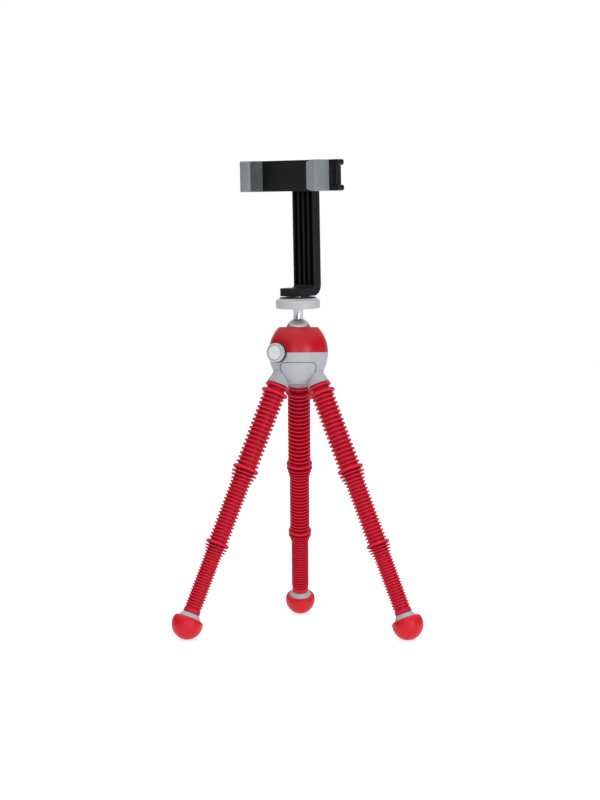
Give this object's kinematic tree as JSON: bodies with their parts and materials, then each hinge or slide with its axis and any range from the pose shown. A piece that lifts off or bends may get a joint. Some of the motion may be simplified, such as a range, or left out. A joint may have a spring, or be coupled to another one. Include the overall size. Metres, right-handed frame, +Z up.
{
  "type": "flexible leg tripod",
  "caption": "Small flexible tripod with ribbed rubber sleeves over ball-jointed legs, a ball head with side lock knob, and a spring phone clamp on an angled arm.",
  "frame": {"origin": "on the floor, under the middle of the box round the whole tripod", "axes": "+Z up, -Y towards the front, where the phone faces; the rear leg points along +Y"},
  "size_m": [0.1356, 0.1198, 0.2602],
  "materials": {
    "red_rubber": "satin",
    "red_plastic": "satin",
    "grey_plastic": "satin",
    "dark_plastic": "plain",
    "white_nylon": "plain",
    "silver_paint": "satin",
    "grey_rubber": "matt",
    "black_rubber": "matt",
    "chrome": "polished",
    "black_plastic": "fine grain",
    "steel": "plain",
    "brass": "plain",
    "white_plastic": "satin"
  },
  "bodies": {
    "base": {"hub_body": "grey_plastic", "dome_shell": "red_plastic", "hub_panels": "grey_plastic", "hub_screws": "steel", "collar_screws": "steel", "lower_cup": "white_nylon", "knob_washer": "black_rubber", "collar_front_left": "grey_plastic", "collar_front_right": "grey_plastic", "collar_rear": "grey_plastic"},
    "pan_ring": {"ball_liner": "white_nylon"},
    "ball": {"ball_stud": "chrome"},
    "disk": {"lock_disk": "silver_paint", "disk_pad": "black_rubber"},
    "knob": {"lock_knob": "grey_plastic", "knob_cap": "white_plastic", "knob_clip": "steel"},
    "plunger": {"lock_plunger": "steel"},
    "arm": {"phone_arm": "black_plastic", "arm_insert": "brass", "pivot_screw": "steel", "pivot_nut": "steel", "pivot_washer": "steel"},
    "clamp": {"clamp_body": "black_plastic", "clamp_cover": "black_plastic", "fixed_jaw_pad": "grey_rubber", "clamp_screws": "steel", "clamp_springs": "steel"},
    "clamp_slide": {"slider": "black_plastic", "sliding_jaw_pad": "grey_rubber"},
    "link_1_front_left": {"link_1_front_left": "dark_plastic"},
    "link_2_front_left": {"link_2_front_left": "dark_plastic", "sleeve_upper_front_left": "red_rubber"},
    "link_3_front_left": {"link_3_front_left": "dark_plastic"},
    "link_4_front_left": {"link_4_front_left": "dark_plastic", "sleeve_middle_front_left": "red_rubber"},
    "link_5_front_left": {"link_5_front_left": "dark_plastic"},
    "foot_front_left": {"foot_stem_front_left": "grey_plastic", "foot_pad_front_left": "red_rubber", "sleeve_lower_front_left": "red_rubber"},
    "link_1_front_right": {"link_1_front_right": "dark_plastic"},
    "link_2_front_right": {"link_2_front_right": "dark_plastic", "sleeve_upper_front_right": "red_rubber"},
    "link_3_front_right": {"link_3_front_right": "dark_plastic"},
    "link_4_front_right": {"link_4_front_right": "dark_plastic", "sleeve_middle_front_right": "red_rubber"},
    "link_5_front_right": {"link_5_front_right": "dark_plastic"},
    "foot_front_right": {"foot_stem_front_right": "grey_plastic", "foot_pad_front_right": "red_rubber", "sleeve_lower_front_right": "red_rubber"},
    "link_1_rear": {"link_1_rear": "dark_plastic"},
    "link_2_rear": {"link_2_rear": "dark_plastic", "sleeve_upper_rear": "red_rubber"},
    "link_3_rear": {"link_3_rear": "dark_plastic"},
    "link_4_rear": {"link_4_rear": "dark_plastic", "sleeve_middle_rear": "red_rubber"},
    "link_5_rear": {"link_5_rear": "dark_plastic"},
    "foot_rear": {"foot_stem_rear": "grey_plastic", "foot_pad_rear": "red_rubber", "sleeve_lower_rear": "red_rubber"}
  },
  "joints": [
    {"name": "ball_pan", "type": "hinge", "parent": "base", "child": "pan_ring", "pos_m": [0, -0.01712, 0.16595], "axis": [0, 0, 1], "continuous": true},
    {"name": "ball_tilt", "type": "hinge", "parent": "pan_ring", "child": "ball", "pos_m": [0, -0.01712, 0.16595], "axis": [0.9673, -0.2538, 0], "range_deg": [-47.9, 40.1]},
    {"name": "disk_turn", "type": "hinge", "parent": "ball", "child": "disk", "pos_m": [-0.00031, -0.0183, 0.18386], "axis": [-0.0173, -0.0658, 0.9977], "continuous": true},
    {"name": "arm_turn", "type": "hinge", "parent": "ball", "child": "arm", "pos_m": [-0.00033, -0.01838, 0.18501], "axis": [-0.0173, -0.0658, 0.9977], "continuous": true},
    {"name": "clamp_turn", "type": "hinge", "parent": "arm", "child": "clamp", "pos_m": [-0.00146, -0.02271, 0.25066], "axis": [-0.6156, -0.7856, -0.0625], "continuous": true},
    {"name": "clamp_slide", "type": "slide", "parent": "clamp", "child": "clamp_slide", "axis": [0.7879, -0.6152, -0.0269], "range_m": [0, 0.038], "stiffness_N_per_m": 150, "springref_m": -0.03, "deforming": ["clamp_springs"]},
    {"name": "knob_turn", "type": "hinge", "parent": "base", "child": "knob", "pos_m": [-0.0128, -0.03929, 0.1541], "axis": [-0.5, -0.866, 0], "range_deg": [0, 270]},
    {"name": "plunger_slide", "type": "slide", "parent": "base", "child": "plunger", "axis": [-0.5, -0.866, 0], "range_m": [0, 0.0005]},
    {"name": "leg_ball_1_front_left", "type": "hinge", "parent": "base", "child": "link_1_front_left", "pos_m": [-0.01078, -0.02334, 0.1378], "axis": [-0.5, 0.866, 0], "range_deg": [-23.4, 30], "deforming": ["sleeve_upper_front_left"]},
    {"name": "leg_ball_2_front_left", "type": "hinge", "parent": "link_1_front_left", "child": "link_2_front_left", "pos_m": [-0.01738, -0.02716, 0.12017], "axis": [-0.7948, -0.4589, 0.3971], "range_deg": [-40, 40], "deforming": ["sleeve_upper_front_left"]},
    {"name": "leg_ball_3_front_left", "type": "hinge", "parent": "link_2_front_left", "child": "link_3_front_left", "pos_m": [-0.02461, -0.03133, 0.1009], "axis": [0.5, -0.866, 0], "range_deg": [-40, 40], "deforming": ["sleeve_upper_front_left"]},
    {"name": "leg_ball_4_front_left", "type": "hinge", "parent": "link_3_front_left", "child": "link_4_front_left", "pos_m": [-0.03234, -0.0358, 0.08025], "axis": [0.7948, 0.4589, -0.3971], "range_deg": [-40, 40], "deforming": ["sleeve_middle_front_left"]},
    {"name": "leg_ball_5_front_left", "type": "hinge", "parent": "link_4_front_left", "child": "link_5_front_left", "pos_m": [-0.03974, -0.04006, 0.06052], "axis": [-0.5, 0.866, 0], "range_deg": [-40, 40], "deforming": ["sleeve_middle_front_left"]},
    {"name": "leg_ball_6_front_left", "type": "hinge", "parent": "link_5_front_left", "child": "foot_front_left", "pos_m": [-0.04739, -0.04448, 0.04011], "axis": [-0.7948, -0.4589, 0.3971], "range_deg": [-40, 40], "deforming": ["sleeve_lower_front_left"]},
    {"name": "leg_ball_1_front_right", "type": "hinge", "parent": "base", "child": "link_1_front_right", "pos_m": [0.01078, -0.02334, 0.1378], "axis": [-0.5, -0.866, 0], "range_deg": [-23.4, 30], "deforming": ["sleeve_upper_front_right"]},
    {"name": "leg_ball_2_front_right", "type": "hinge", "parent": "link_1_front_right", "child": "link_2_front_right", "pos_m": [0.01738, -0.02716, 0.12017], "axis": [0.7948, -0.4589, 0.3971], "range_deg": [-40, 40], "deforming": ["sleeve_upper_front_right"]},
    {"name": "leg_ball_3_front_right", "type": "hinge", "parent": "link_2_front_right", "child": "link_3_front_right", "pos_m": [0.02461, -0.03133, 0.1009], "axis": [0.5, 0.866, 0], "range_deg": [-40, 40], "deforming": ["sleeve_upper_front_right"]},
    {"name": "leg_ball_4_front_right", "type": "hinge", "parent": "link_3_front_right", "child": "link_4_front_right", "pos_m": [0.03234, -0.0358, 0.08025], "axis": [-0.7948, 0.4589, -0.3971], "range_deg": [-40, 40], "deforming": ["sleeve_middle_front_right"]},
    {"name": "leg_ball_5_front_right", "type": "hinge", "parent": "link_4_front_right", "child": "link_5_front_right", "pos_m": [0.03974, -0.04006, 0.06052], "axis": [-0.5, -0.866, 0], "range_deg": [-40, 40], "deforming": ["sleeve_middle_front_right"]},
    {"name": "leg_ball_6_front_right", "type": "hinge", "parent": "link_5_front_right", "child": "foot_front_right", "pos_m": [0.04739, -0.04448, 0.04011], "axis": [0.7948, -0.4589, 0.3971], "range_deg": [-40, 40], "deforming": ["sleeve_lower_front_right"]},
    {"name": "leg_ball_1_rear", "type": "hinge", "parent": "base", "child": "link_1_rear", "pos_m": [0, -0.00468, 0.1378], "axis": [1, 0, 0], "range_deg": [-23.4, 30], "deforming": ["sleeve_upper_rear"]},
    {"name": "leg_ball_2_rear", "type": "hinge", "parent": "link_1_rear", "child": "link_2_rear", "pos_m": [0, 0.00295, 0.12017], "axis": [0, 0.9178, 0.3971], "range_deg": [-40, 40], "deforming": ["sleeve_upper_rear"]},
    {"name": "leg_ball_3_rear", "type": "hinge", "parent": "link_2_rear", "child": "link_3_rear", "pos_m": [0, 0.01129, 0.1009], "axis": [-1, 0, 0], "range_deg": [-40, 40], "deforming": ["sleeve_upper_rear"]},
    {"name": "leg_ball_4_rear", "type": "hinge", "parent": "link_3_rear", "child": "link_4_rear", "pos_m": [0, 0.02023, 0.08025], "axis": [0, -0.9178, -0.3971], "range_deg": [-40, 40], "deforming": ["sleeve_middle_rear"]},
    {"name": "leg_ball_5_rear", "type": "hinge", "parent": "link_4_rear", "child": "link_5_rear", "pos_m": [0, 0.02877, 0.06052], "axis": [1, 0, 0], "range_deg": [-40, 40], "deforming": ["sleeve_middle_rear"]},
    {"name": "leg_ball_6_rear", "type": "hinge", "parent": "link_5_rear", "child": "foot_rear", "pos_m": [0, 0.0376, 0.04011], "axis": [0, 0.9178, 0.3971], "range_deg": [-40, 40], "deforming": ["sleeve_lower_rear"]}
  ],
  "couplings": [
    {"joint": "plunger_slide", "follows": "knob_turn", "m_per_rad": 0.0001061}
  ]
}
